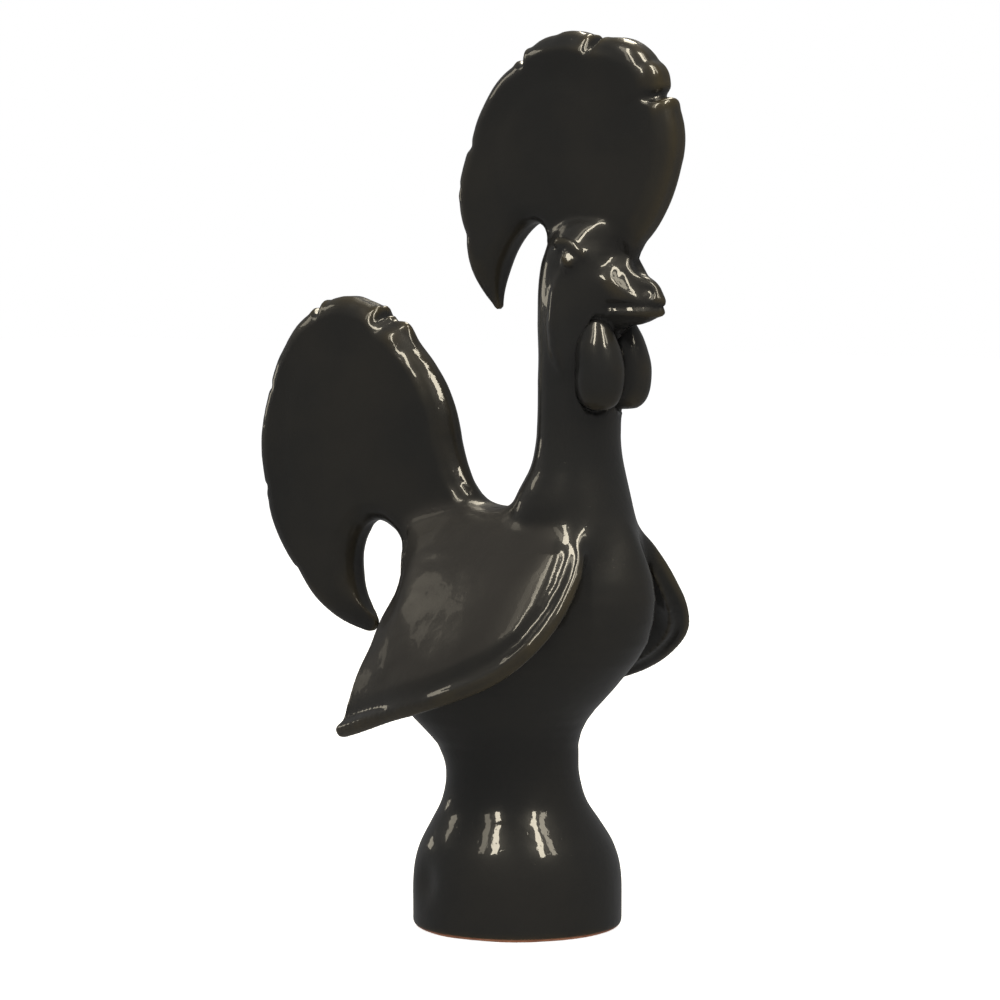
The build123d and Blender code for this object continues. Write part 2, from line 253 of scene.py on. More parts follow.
def line_distance(values, line):
    """The distance from each point to a line of straight runs, and how far along it lies."""
    best, place = np.full(len(values), np.inf), np.zeros(len(values))
    for i, (start, end) in enumerate(zip(line[:-1], line[1:])):
        run = end - start
        share = np.clip((values - start) @ run / (run @ run), 0, 1)
        distance = np.linalg.norm(values - (start + share[:, None] * run), axis=1)
        closer = distance < best
        best = np.where(closer, distance, best)
        place = np.where(closer, i + share, place)
    return best, place / (len(line) - 1)


print("bump at 0, 1 and 2 widths", np.round(bump(np.arange(3.0), 1.0), 2).tolist())

# %% [markdown]
# ## Rub out the lumps
# Where three or more pieces meet, such as the neck, the back and the lip of a wing, the slip
# alone leaves a lump. A potter rubs those places with a wet thumb. A thumb here is a place, a
# size and a number of strokes, and always works on both sides of the bird at once.

# %% Thumb strokes
def mirrored(values):
    """The points in mm, with the right side folded onto the left."""
    return np.column_stack((values[:, 0], np.abs(values[:, 1]), values[:, 2])) / MM


thumb_strokes = [
    ((29, 13, 111), 7, 70), ((33, 9, 108), 6, 50), ((-4, 0, 115), 16, 70), ((-22, 0, 113), 10, 40),
    ((36, 7, 187), 6, 60), ((31, 8, 172), 5, 25), ((33, 8, 165), 5, 50), ((30, 9, 156), 6, 25),
    ((37, 8, 107), 8, 60), ((30.5, 12.5, 112.5), 4.5, 140),
]
for place, size, strokes in thumb_strokes:
    weight = bump(np.linalg.norm(mirrored(points) - place, axis=1), size)
    points = smoothed(points, weight, strokes)
print("thumb strokes", sum(strokes for _, _, strokes in thumb_strokes))

# %% [markdown]
# ## Push the forms to the photograph
# The solids have the right sizes, and a hand-made bird still leans a little here and there. A
# push is a place, a size and a shift in millimetres. It moves the clay like the heel of a hand,
# most in the middle and not at all further off. The outlines of the render and the photograph
# were laid over each other to find where a push was needed. The waist leans back a little, and
# the pedestal is fuller above its shoulder and leaner below. Whole edges are moved by a second
# list, whose weights say how far along and how high the moved part lies.

# %% Pushes with the heel of the hand
def both_ways(values, shift):
    """A shift given for the left side, with its sideways part turned round on the right."""
    return np.column_stack((np.ones(count), np.sign(values[:, 1]), np.ones(count))) * shift


comb, tail, wing = belongs("comb"), belongs("tail"), belongs("wing")
pushes = [
    ((41.5, 0, 184), 5.0, (-1.6, 0, -2.2), ~comb), ((37, 8, 187), 5.0, (-1.0, -1.4, 0), everywhere),
    ((34, 0, 130), 14.0, (-2.0, 0, 0), everywhere), ((10, 0, 120), 8.0, (1.1, 0, -0.3), everywhere),
    ((10, 0, 188), 6.0, (0.8, 0, 0), ~comb), ((-40, 0, 164), 4.5, (1.9, 0, 2.3), tail),
    ((49, 0, 226), 3.5, (1.1, 0, 0.9), comb), ((-50, 0, 172), 5.0, (0, 0, -1.1), tail),
    ((-80, 0, 158), 6.0, (0.9, 0, -0.8), tail), ((-9, 0, 226), 5.0, (0.6, 0, -0.9), comb),
    ((48, 0, 171), 3.0, (0.8, 0, 0), everywhere),
]
for place, size, shift, part in pushes:
    weight = part * bump(np.linalg.norm(mirrored(points) - place, axis=1), size)
    points = points + weight[:, None] * both_ways(points, shift) * MM
print("pushes", len(pushes))

# %% Lean the waist back and shape the pedestal's shoulder
across, up = points[:, 0] / MM, points[:, 2] / MM
waist, width_above, width_below, waist_back = 41, 6, 13, 1.4
leaning = np.where(up > waist, bump(up - waist, width_above), bump(up - waist, width_below))
points[:, 0] -= waist_back * MM * leaning
outward = points * (1, 1, 0) / np.maximum(np.hypot(points[:, 0], points[:, 1]), MM)[:, None]
fuller, leaner = 0.35 * bump(up - 36, 4.5), 0.38 * bump(up - 28, 4)
flare = belongs("pedestal") * (fuller - leaner)
points = points + outward * flare[:, None] * MM
print("pedestal's shoulder moved by mm", round(float(np.abs(flare).max()), 2))

# %% Move whole edges
forwards, upwards = 0, 2
on_wing = falloff(wing, 4)
rear = fading(across, -34, -16)
edges = [
    # the comb's rear edge and the rear of its top
    (forwards, 0.8, comb * fading(across, -12, 8)),
    (upwards, -1.0, comb * stepped(up, 236, 243) * fading(across, 20, 36)),
    # the tail's rear edge and its lower part
    (forwards, 0.8, tail * fading(across, -90, -70)),
    (forwards, 1.2, tail * fading(up, 92, 112)),
    # the rear edge of the wings, the back beside it and the wings' tips
    (forwards, 3.0, rear * on_wing * stepped(up, 66, 80) * fading(up, 102, 112)),
    (forwards, 3.0, rear * ~tail * bump(up - 93, 8)),
    (forwards, -2.2, rear * on_wing * fading(up, 56, 68)),
    (upwards, -1.2, wing * fading(across, -34, -14) * fading(up, 57, 67)),
]
for axis, amount, weight in edges:
    points[:, axis] += amount * MM * weight
print("edges moved", len(edges))

# %% [markdown]
# ## Square the head's shoulders
# The head's sides stand nearly upright and then turn in sharply to the comb, so the join shows
# as one thin bright arc. The solid head is rounder, so its upper part is widened level by level.

# %% Widen the top of the head
levels = (181.0, 185.0, 189.0, 192.0, 193.5, 195.0)
wider = (1.0, 1.03, 1.10, 1.22, 1.25, 1.10)
on_head = falloff(belongs("head"), 3) * fading(across, 32, 37) * stepped(across, 10, 16)
widening = np.interp(points[:, 2] / MM, levels, wider, 1.0, 1.0) - 1
points[:, 1] *= 1 + softened(on_head, 4) * widening
print("head wider at most by", max(wider))

# %% [markdown]
# ## Rims, hooks, wattles and eyes
# The comb and the tail were patted thinner towards their rims, and the hooks were pinched to
# points, so their points are drawn towards the middle plane. The beak's ridge is pinched
# narrower in the same way. The two wattles are fattened, set back a little towards the neck, and
# stopped at the middle plane, where they meet. Each eye is a pellet pressed flat with a
# fingertip, so its outermost part is pushed back to a plane that faces sideways, up and forward.

# %% Pinch the rims and the hooks
plates = comb | tail
edgewise = fading(np.abs(normals_of(points)[:, 1]), 0.35, 0.8)
rims = softened(falloff(plates * edgewise > 0.5, 7) * plates, 6)
front_of_tail = tail * stepped(points[:, 0] / MM, -60, -40)
clear_of_seams = 1 - falloff(~plates, 12)
points[:, 1] *= 1 - rims * (0.22 + 0.25 * front_of_tail) * clear_of_seams

hook_tips = {"comb": (-6.9, 169.8, 8.0, 0.55), "tail": (-52.5, 78.5, 10.0, 0.60)}
for plate, (x, z, length, pinch) in hook_tips.items():
    from_tip = np.hypot(points[:, 0] / MM - x, points[:, 2] / MM - z)
    points[:, 1] *= 1 - pinch * bump(from_tip, length) * belongs(plate)
print("hooks pinched", len(hook_tips))

# %% Fatten the wattles and set them back
wattle, gap = belongs("wattle"), 0.06 * MM
root_low, root_high = 154, 162
on_wattle = spread_mean(falloff(wattle, 3))
fat = wattle * (0.35 + 0.7 * stepped(points[:, 2] / MM, root_low, root_high))
fat = softened(fat * (1 - falloff(on_seam, 3)), 3)
points = points + normals_of(points) * (MM * fat)[:, None]
points[:, 0] -= MM * on_wattle * (2.3 + stepped(points[:, 2] / MM, root_low, root_high))
points[:, 1] *= 1 - 0.06 * on_wattle
for side, name in ((-1, "right_wattle"), (1, "left_wattle")):
    own = belongs(name)
    points[own, 1] = side * np.maximum(points[own, 1] * side, gap)
print("wattles fattened by mm", round(float(fat.max()), 2))

# %% Pinch the beak's ridge and press the eyes
beak_ridge = np.array([(38.0, 0.0, 184.5), (41.0, 0.0, 181.5), (45.0, 0.0, 176.5)])
from_ridge, _ = line_distance(points / MM * (1, 0, 1), beak_ridge)
points[:, 1] *= 1 - 0.5 * bump(from_ridge, 4.0) * spread_mean(falloff(belongs("upper_beak"), 4))

eye_centre, eye_facing = np.array((26.5, 11.9, 183.8)), np.array((0.37, 0.84, 0.40))
lift, flat_height, flattening = 0.5, 1.9, 0.9
on_eye = belongs("eye")
height = (mirrored(points) - eye_centre) @ eye_facing
lifted = lift * on_eye * stepped(height, 0.0, 0.6)
raised = lifted - flattening * np.maximum(height + lifted - flat_height, 0) * on_eye
points = points + both_ways(points, eye_facing) * (raised * MM)[:, None]
print("pellet stands out by mm", round(float((height * on_eye).max()), 2))

# %% [markdown]
# ## Notches of the comb and tail
# The scallops were cut with a modelling tool, and the clay it pushed away stands up as a curl
# on both sides of each cut. The tool goes straight across the plate, so the work is done in the
# plate's own plane: a cut is a place, a direction and a depth. Points near it move along the
# cut's direction, inwards in the middle and a little outwards on both sides.

# %% Press the notches
notches = {
    "comb": [
        (49.6, 227.2, 1.1), (28.0, 241.8, 1.5), (3.8, 238.4, 1.8), (-14.8, 214.6, 0.5),
        (-18.6, 203.0, 0.4),
    ],
    "tail": [
        (-45.4, 169.0, 1.7), (-68.8, 170.4, 1.9), (-87.0, 147.6, 0.5), (-88.8, 117.4, 0.5),
        (-76.8, 93.4, 0.4),
    ],
}
plate_centres = {"comb": (20.0, 212.0), "tail": (-58.0, 132.0)}
cut_reach, cut_width, curl_offset, curl_width, curl_share = 2.6, 1.0, 2.2, 1.2, 0.4
for plate, cuts in notches.items():
    here = belongs(plate)
    for x, z, depth in cuts:
        inward = np.array(plate_centres[plate]) - (x, z)
        inward /= np.linalg.norm(inward)
        offset = points[:, (0, 2)] / MM - (x, z)
        along = offset @ (-inward[1], inward[0])
        below = offset @ inward
        near = here * bump(np.maximum(below, 0), cut_reach)
        cut = depth * bump(along, cut_width)
        curls = bump(along - curl_offset, curl_width) + bump(along + curl_offset, curl_width)
        shift = near * (cut - curl_share * depth * curls) * MM
        points[:, 0] += shift * inward[0]
        points[:, 2] += shift * inward[1]
points = smoothed(points, 0.6 * falloff(on_seam, 1) + 0.4, 2, push=push_back)
print("notches", sum(len(cuts) for cuts in notches.values()))

# %% [markdown]
# ## Faces of the comb and tail
# The two sides of the comb and tail aren't flat boards. The potter beat them out with the
# palm, so the middle of the comb stands up as a faint round swelling. An ellipse in the plate's
# plane gives the swelling, with a soft step at its edge. Along the comb's top the palm also
# left a low ridge that follows the rim, and it catches the light as a soft arc.

# %% Raise the swellings
normals = normals_of(points)
across, up = points[:, 0] / MM, points[:, 2] / MM
swellings = {"comb": (17.0, 209.0, 19.5, 22.0, 0.35), "tail": (-62.0, 132.0, 17.0, 26.0, 0.25)}
for plate, (x, z, wide, high, rise) in swellings.items():
    around = np.hypot((across - x) / wide, (up - z) / high)
    amount = belongs(plate) * fading(around, 0.82, 1.1) * rise * MM
    points[:, 1] += np.sign(points[:, 1]) * amount * np.abs(normals[:, 1])
print("swellings", len(swellings))

# %% Raise the ridge along the comb's top
comb_arc = np.array([
    (8.0, 0.0, 238.0), (14.0, 0.0, 239.8), (20.8, 0.0, 240.2), (27.0, 0.0, 239.2),
    (33.5, 0.0, 237.2), (40.7, 0.0, 234.0), (45.5, 0.0, 230.5), (48.0, 0.0, 228.0),
])
from_arc, along_arc = line_distance(points / MM * (1, 0, 1), comb_arc)
centre_x, centre_z = plate_centres["comb"]
arc_radius = np.hypot(comb_arc[:, 0] - centre_x, comb_arc[:, 2] - centre_z)
radius = np.hypot(across - centre_x, up - centre_z)
outside = radius > np.interp(across, comb_arc[:, 0], arc_radius)
arc_ridge = 0.7 * np.where(outside, bump(from_arc, 1.4), bump(from_arc, 5.0)) * comb
arc_ridge *= stepped(along_arc, 0.0, 0.15) * (1 - 0.8 * stepped(along_arc, 0.4, 0.8))
points[:, 1] += np.sign(points[:, 1]) * arc_ridge * np.abs(normals[:, 1]) * MM
print("ridge on the comb in mm", round(float(arc_ridge.max()), 2))

# %% [markdown]
# ## Rolled edge of the wings
# Each wing ends in a rolled lip. Behind the lip the potter drew a groove with a wet finger,
# and the clay beside the groove rose to a second ridge, which is sharp towards the lip and runs
# out softly over the wing. The distance from the lip's centre line gives both: a small negative
# hill makes the groove, and a lopsided one the ridge. Both fade towards the wing's tip. The same
# distance marks the wing's broad face, which came out of the kiln duller, and where a lighter
# black is painted on as a painted sheen.

# %% Draw the groove and the ridge
lip_line = np.array([
    (31.2, 13.0, 110.5), (33.0, 17.0, 104.0), (34.0, 22.8, 96.8), (33.8, 28.5, 90.2),
    (30.6, 35.3, 82.2), (23.2, 38.9, 75.4), (11.0, 43.0, 69.2), (-8.0, 40.0, 63.3),
    (-20.0, 36.6, 59.6), (-29.0, 33.3, 57.1), (-34.0, 31.3, 55.7),
])
groove_at, groove_depth, ridge_at, ridge_height = 3.4, 0.5, 6.2, 0.7
normals = normals_of(points)
from_lip, along_lip = line_distance(mirrored(points), lip_line)
outer = stepped(normals[:, 1] * np.sign(points[:, 1]) + 0.4 * normals[:, 2], 0.05, 0.4)
begin = stepped(along_lip, 0.0, 0.12)
fade = fading(along_lip, 0.45, 0.85) * begin
past_ridge = from_lip - ridge_at
lopsided = np.where(past_ridge < 0, bump(past_ridge, 2.1), bump(past_ridge, 9.0))
ridge = ridge_height * lopsided * fade
groove = groove_depth * bump(from_lip - groove_at, 1.5) * (0.35 + 0.65 * fade)
roll = (ridge - groove) * begin * outer * on_wing
points = points + normals * (roll * MM)[:, None]
print("deepest groove in mm", round(float(-roll.min()), 2))

# %% Mark the faces that came out of the kiln duller, where a lighter black paints their sheen
dulled_and_sheen = falloff(wing, 12) * stepped(from_lip, 4.8, 7.0)
dulled_and_sheen = np.maximum(dulled_and_sheen, 0.5 * plates * stepped(np.abs(normals[:, 1]), 0.85, 0.97))
dulled_and_sheen = softened(dulled_and_sheen, 8)
print("mean of the dull weight", round(float(dulled_and_sheen.mean()), 3))

# %% [markdown]
# ## Mouth and nostrils
# The two halves of the beak meet in the mouth, which the glaze keeps as a dark line. The points
# of their seam are the ones to press in. The lower half's edge stands out a little below the
# mouth and catches a thin light. Each side of the upper half has a nostril, a short fold with a
# groove pressed round it, and the distance from a line gives it, as for the wing's groove.

# %% Cut the mouth and the nostrils
mouth_depth, edge_at, edge_height = 1.1, 169.8, 0.7
fold_height, groove_around, nostril_depth = 0.15, 1.8, 0.4
beak = belongs("beak")
mouth = ends_of(seam_edge & beak[edge_a] & beak[edge_b])
mouth_weight = softened(falloff(mouth, 3), 2)
nostril_line = np.array([(40.0, 7.0, 180.5), (43.2, 6.0, 177.4), (45.4, 4.0, 175.0)])
from_nostril, _ = line_distance(mirrored(points), nostril_line)
fold = fold_height * bump(from_nostril, 1.0)
around = nostril_depth * bump(from_nostril - groove_around, 0.9)
lower_edge = belongs("lower_beak") * bump(points[:, 2] / MM - edge_at, 1.0)
pressed = beak * (fold - around) + edge_height * lower_edge - mouth_depth * mouth_weight
points = points + normals_of(points) * (pressed * MM)[:, None]
print("points on the mouth's line", int(mouth.sum()))

# %% [markdown]
# ## The unevenness of a hand-made thing
# A perfectly smooth form looks like plastic, because its reflections have perfect edges. Two
# layers of noise are added: broad waves left by the palm, strongest on the rear of the wings,
# and a finer ripple where the glaze ran. Both are a fraction of a millimetre, since a gloss
# shows even that. The waves are real geometry. Low on the
# pedestal one fingertip left a deeper dent, which shows as a small bright patch.

# %% Press marks
dent_place, dent_width, dent_push = (-12.2, -26.3, 14.0), 6.0, (0.67, 1.45, 0.0)
dent = bump(np.linalg.norm(points / MM - dent_place, axis=1), dent_width)
points = points + dent[:, None] * dent_push * MM

waves, ripple, other_part = 75, 170, Vector((7, 3, 1))
depth, rear_depth = 0.10, 0.35
press = np.array([
    noise.noise(Vector(p) * waves) + 0.5 * noise.noise(Vector(p) * ripple + other_part)
    for p in points
])
rear_of_wing = on_wing * bump(points[:, 0] / MM + 16, 18) * bump(points[:, 2] / MM - 88, 22)
press *= depth + rear_depth * rear_of_wing
points = points + normals_of(points) * (press * MM)[:, None]
points = np.clip(points, *cad_box)
print("press marks up to mm", round(float(np.abs(press).max()), 2))

# %% [markdown]
# ## Where the glaze is thin
# Melting glaze runs off sharp edges and gathers in hollows. To find both, the skin is compared
# with a much smoother copy of itself: a point that stands out from the copy is on an edge, and
# one that lies below it is in a hollow. The copy is smoothed by two amounts, and the rims of the
# comb and tail get a little extra. The result is kept on the mesh as an attribute that the glaze
# material reads. A second attribute marks the bare clay, which is the ring that the rooster
# stood on in the kiln and the inside of the foot.

# %% Measure edges, hollows and bare clay
def standing_out(steps):
    """How far each point stands out from a smoother copy of the skin, in mm."""
    smoother = smoothed(points, everywhere, steps)
    return np.einsum("ij,ij->i", points - smoother, normals) / MM


normals = normals_of(points)
edge_value = 0.6 * standing_out(14) + 0.4 * standing_out(50)
edge_value += 0.25 * plates * fading(np.abs(normals[:, 1]), 0.4, 0.9)
edge_value = softened(edge_value, 3)

hollow_top, hollow_radius, ceiling_top, ceiling_radius = 60, 27, 45, 18
up, radius = points[:, 2] / MM, np.hypot(points[:, 0], points[:, 1]) / MM
facing_in = -np.einsum("ij,ij->i", points[:, :2], normals[:, :2]) / MM / np.maximum(radius, 0.001)
in_hollow = (up < hollow_top) & (radius < hollow_radius) & belongs("pedestal", "torso")
ceiling = (normals[:, 2] < -0.8) & (radius < ceiling_radius) & (up < ceiling_top)
inside = np.maximum(stepped(facing_in, 0.2, 0.5) * in_hollow, ceiling)
bare_value = np.maximum(inside, fading(up, 0.5, 1.1))
print("edge value shares", np.round(np.percentile(edge_value, (1, 10, 50, 90, 99)), 2).tolist())

# %% [markdown]
# ## Cut the skin back into its pieces
# Each piece of clay gets its own object again, under its own name. The pieces share the points
# of their seams, and each keeps the normals of the whole skin, so that the glaze runs over the
# seams without a line. An open shell isn't a piece of clay, though, so each open edge is closed
# with a cap that lies inside its neighbour. A loop is capped with a fan round its middle. Two
# loops one inside the other, as at the pedestal's top, get a ring of faces between them.

# %% Helpers for closing a shell
def open_loops(faces):
    """The loops of edges that have a face on one side only."""
    halves = {(f[i], f[(i + 1) % 4]) for f in faces for i in range(4)}
    following = {}
    for a, b in sorted(halves):
        if (b, a) not in halves:
            following.setdefault(a, []).append(b)
    loops = []
    while following:
        first = min(following)
        loop, here = [], first
        while here in following:
            loop.append(here)
            ways = following[here]
            nxt = ways.pop()
            if not ways:
                del following[here]
            here = nxt
        loops.append(loop)
    return loops


def fan(loop, centre):
    """Faces from each edge of a loop to one point."""
    return [(loop[(i + 1) % len(loop)], loop[i], centre) for i in range(len(loop))]


def ring(one, two):
    """Faces between two loops that run opposite ways round."""
    two = two[::-1]
    faces, i, j = [], 0, 0
    while i < len(one) or j < len(two):
        if j == len(two) or (i < len(one) and (i + 1) / len(one) <= (j + 1) / len(two)):
            faces.append((one[(i + 1) % len(one)], one[i], two[j % len(two)]))
            i += 1
        else:
            faces.append((two[j % len(two)], two[(j + 1) % len(two)], one[i % len(one)]))
            j += 1
    return faces


def turned_to(loop, where, target):
    """The same loop, starting from its point nearest to the target."""
    start = min(range(len(loop)), key=lambda i: float(np.linalg.norm(where[loop[i]] - target)))
    return loop[start:] + loop[:start]


# %% Split, close and keep the attributes
large_loop, same_middle = 40, 2 * MM
quad_owner = np.sort(owner[quads], axis=1)[:, 1]
# The satin weight also says where the black is painted lighter, a painted sheen on the wings.
attributes = (("thin_glaze", edge_value), ("bare_clay", bare_value), ("satin_and_sheen", dulled_and_sheen))
pieces = {}
for index, name in enumerate(names):
    own = quads[quad_owner == index]
    used, local = np.unique(own, return_inverse=True)
    local = local.reshape(-1, 4)
    where = [*points[used]]
    loops = sorted(open_loops(local.tolist()), key=len)
    caps = []
    while loops:
        loop = loops.pop()
        middle = np.mean([where[i] for i in loop], axis=0)
        partner = next((
            other for other in loops if len(other) > large_loop
            and np.linalg.norm(np.mean([where[i] for i in other], axis=0) - middle) < same_middle
        ), None)
        if partner:
            loops.remove(partner)
            loop = turned_to(loop, where, where[partner[0]])
            caps += ring(loop, turned_to(partner, where, where[loop[0]]))
        else:
            where.append(middle)
            caps += fan(loop, len(where) - 1)
    mesh = bpy.data.meshes.new(name)
    mesh.from_pydata(np.array(where).tolist(), [], local.tolist() + caps)
    mesh.polygons.foreach_set("use_smooth", [True] * len(mesh.polygons))
    skin_normals = normals[used][local.ravel()]
    cap_normals = [tuple(p.normal) for p in mesh.polygons[len(local):] for _ in range(3)]
    mesh.normals_split_custom_set([*map(tuple, skin_normals), *cap_normals])
    added = [0.0] * (len(where) - len(used))
    for label, values in attributes:
        layer = mesh.attributes.new(label, "FLOAT", "POINT")
        layer.data.foreach_set("value", [*values[used].tolist(), *added])
    piece = bpy.data.objects.new("glazed_" + name, mesh)
    scene.collection.objects.link(piece)
    pieces[name] = piece
    print(f"{name}: {len(mesh.vertices)} points, {len(caps)} cap faces")

# %% [markdown]
# ## Black glaze
# The glaze is a black glass about a third of a millimetre thick on brown clay. What one sees
# is nearly all reflection, in two layers: a sharp one from the glass, and a soft one from the
# fine crystals in it. So the shader has a rough base under a clear coat. The colour goes from
# black where the glaze pooled to a warm olive brown where it ran thin on the edges, and the
# amount comes from the attribute that was measured above, broken up with noise. The broad faces
# of the wings, comb and tail came out of the kiln duller, so the coat is weaker there and the
# soft layer shows. On the wings' broad faces the black is also painted lighter, a painted sheen.
# The small dips and pores are bump, since they are finer than the mesh.

# %% A node group for the unevenness that glaze and clay share
def add_node(nodes_in, kind, place, **settings):
    """Add a node, put it at a place in the editor and set its properties."""
    node = nodes_in.new(kind)
    node.location = place
    for key, value in settings.items():
        setattr(node, key, value)
    return node


uneven = bpy.data.node_groups.new("uneven surface", "ShaderNodeTree")
for label, default in (("Scale", 60.0), ("Detail", 3.0), ("Low", 0.35), ("High", 0.65)):
    socket = uneven.interface.new_socket(label, in_out="INPUT", socket_type="NodeSocketFloat")
    socket.default_value = default
uneven.interface.new_socket("Mask", in_out="OUTPUT", socket_type="NodeSocketFloat")
group_in = add_node(uneven.nodes, "NodeGroupInput", (-600, 0))
group_out = add_node(uneven.nodes, "NodeGroupOutput", (400, 0))
position = add_node(uneven.nodes, "ShaderNodeTexCoord", (-600, -200))
grain = add_node(uneven.nodes, "ShaderNodeTexNoise", (-350, 0))
remap = add_node(uneven.nodes, "ShaderNodeMapRange", (100, 0), interpolation_type="SMOOTHSTEP")
wires = (
    (position.outputs["Object"], grain.inputs["Vector"]),
    (group_in.outputs["Scale"], grain.inputs["Scale"]),
    (group_in.outputs["Detail"], grain.inputs["Detail"]),
    (grain.outputs["Fac"], remap.inputs["Value"]),
    (group_in.outputs["Low"], remap.inputs["From Min"]),
    (group_in.outputs["High"], remap.inputs["From Max"]),
    (remap.outputs["Result"], group_out.inputs["Mask"]),
)
for output, socket in wires:
    uneven.links.new(output, socket)
print("nodes in the group", len(uneven.nodes))

# %% The glaze and the bare clay in one material
glaze = bpy.data.materials.new("black_glaze")
glaze.use_nodes = True
parts = glaze.node_tree.nodes
join = glaze.node_tree.links.new
shader = parts["Principled BSDF"]
shader.inputs["IOR"].default_value = 1.5
shader.inputs["Specular IOR Level"].default_value = 0.2
shader.inputs["Coat Roughness"].default_value = 0.035
shader.inputs["Coat IOR"].default_value = 1.5


def uneven_mask(place, scale, low, high, detail=3.0):
    """Place the shared group with its own values and give its mask."""
    node = add_node(parts, "ShaderNodeGroup", place, node_tree=uneven)
    for label, value in (("Scale", scale), ("Detail", detail), ("Low", low), ("High", high)):
        node.inputs[label].default_value = value
    return node.outputs["Mask"]


def mixed(place, factor, first, second):
    """Mix two colours, each a fixed colour or the output of another node."""
    node = add_node(parts, "ShaderNodeMix", place, data_type="RGBA")
    # a Mix node has sockets for each kind of value, and these are the ones for colours
    colour_a, colour_b, colour_out = node.inputs[6], node.inputs[7], node.outputs[2]
    join(factor, node.inputs["Factor"])
    for socket, value in ((colour_a, first), (colour_b, second)):
        if isinstance(value, tuple):
            socket.default_value = (*value, 1)
        else:
            join(value, socket)
    return colour_out


def worked(place, operation, first, second):
    """A Math node on two values, each a number or the output of another node."""
    node = add_node(parts, "ShaderNodeMath", place, operation=operation)
    for socket, value in ((node.inputs[0], first), (node.inputs[1], second)):
        if isinstance(value, (int, float)):
            socket.default_value = value
        else:
            join(value, socket)
    return node.outputs[0]


def ranged(place, value, low, high, to_low=0.0, to_high=1.0):
    """Map a value from one range to another, with soft ends."""
    node = add_node(parts, "ShaderNodeMapRange", place, interpolation_type="SMOOTHSTEP")
    join(value, node.inputs["Value"])
    numbers = (("From Min", low), ("From Max", high), ("To Min", to_low), ("To Max", to_high))
    for label, number in numbers:
        node.inputs[label].default_value = number
    return node.outputs["Result"]


def measured(place, name):
    """The value of one of the attributes that were kept on the mesh."""
    return add_node(parts, "ShaderNodeAttribute", place, attribute_name=name).outputs["Fac"]


print("nodes before the glaze", len(parts))

# %% Colours, from the pooled black to the bare clay, with a painted sheen on the wings' faces
pooled_black, clouded_black = (0.0150, 0.0155, 0.0164), (0.0195, 0.0190, 0.0185)
# The dull black is lighter than the rest: it paints the soft sheen of the wings' broad faces.
dull_black_and_painted_sheen, thin_brown = (0.0275, 0.0265, 0.0265), (0.044, 0.036, 0.020)
red_clay, pale_clay = (0.42, 0.17, 0.10), (0.55, 0.26, 0.16)
thin = measured((-1500, 300), "thin_glaze")
bare = measured((-1500, -300), "bare_clay")
satin_and_sheen = measured((-1500, 100), "satin_and_sheen")
cloud = uneven_mask((-1500, 600), 28.0, 0.35, 0.7)
broken = worked((-1250, 300), "ADD", thin, worked((-1250, 450), "MULTIPLY", cloud, 0.10))
on_edge = ranged((-1000, 300), broken, 0.22, 0.75)
black = mixed((-1000, 650), cloud, pooled_black, clouded_black)
# Where the faces are dull, the black is painted lighter as their sheen.
dull_and_sheen = ranged((-1000, 850), satin_and_sheen, 0.55, 1.0)
black_with_painted_sheen = mixed((-850, 650), dull_and_sheen, black, dull_black_and_painted_sheen)
glazed = mixed((-700, 500), on_edge, black_with_painted_sheen, thin_brown)
clay_grain = uneven_mask((-1250, -150), 220.0, 0.3, 0.7)
clay_tone = mixed((-1000, -150), clay_grain, red_clay, pale_clay)
join(mixed((-350, 400), bare, glazed, clay_tone), shader.inputs["Base Color"])
print("nodes with the colours", len(parts))

# %% Roughness, coat and the fine relief
silky = ranged((-700, 150), cloud, 0.0, 1.0, 0.30, 0.42)
clay_rough = worked((-500, 50), "MULTIPLY", bare, 0.85)
join(worked((-350, 150), "MAXIMUM", silky, clay_rough), shader.inputs["Roughness"])
dull_share = worked((-700, -50), "MULTIPLY", satin_and_sheen, 0.88)
uncoated = worked((-500, -50), "MAXIMUM", bare, dull_share)
join(worked((-350, -50), "SUBTRACT", 1.0, uncoated), shader.inputs["Coat Weight"])
dips = uneven_mask((-1000, -450), 260.0, 0.25, 0.75, 2.0)
pores = uneven_mask((-1000, -650), 900.0, 0.70, 0.78, 1.0)
dip_height = worked((-700, -350), "MULTIPLY", dips, 0.05)
pore_depth = worked((-700, -650), "MULTIPLY", pores, 0.03)
relief = worked((-550, -500), "SUBTRACT", dip_height, pore_depth)
bumped = add_node(parts, "ShaderNodeBump", (-350, -400))
bumped.inputs["Strength"].default_value = 0.5
bumped.inputs["Distance"].default_value = MM
join(relief, bumped.inputs["Height"])
join(bumped.outputs["Normal"], shader.inputs["Normal"])
join(bumped.outputs["Normal"], shader.inputs["Coat Normal"])
for piece in pieces.values():
    piece.data.materials.append(glaze)
print("nodes in the glaze", len(parts))

# %% [markdown]
# ## Hand the pieces to the frame
# The rooster is rigid, so every piece rides on its one body. Each glazed piece stands for the
# solid of the same name, which stays hidden and keeps its work in the physics.

# %% Ride and replace
for name, piece in pieces.items():
    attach(piece, "root")
    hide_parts(name)
print("handed over", len(pieces))

# %% [markdown]
# ## Camera
# The lens was found from the object itself. The foot is a circle, so how flat its ellipse
# looks gives the camera's height over it, and the width between the wings' tips gives the
# direction it stands in. The camera is a metre away with a long lens, which keeps the comb
# and the foot nearly the same scale, as in a catalogue picture. The focal length and the
# middle of the foot are given in pixels of a picture 1000 pixels wide and high.

# %% Place the camera
def direction(compass, elevation):
    """The unit vector at a compass angle and a height, both in radians."""
    level = math.cos(elevation)
    return Vector((math.sin(compass) * level, -math.cos(compass) * level, math.sin(elevation)))


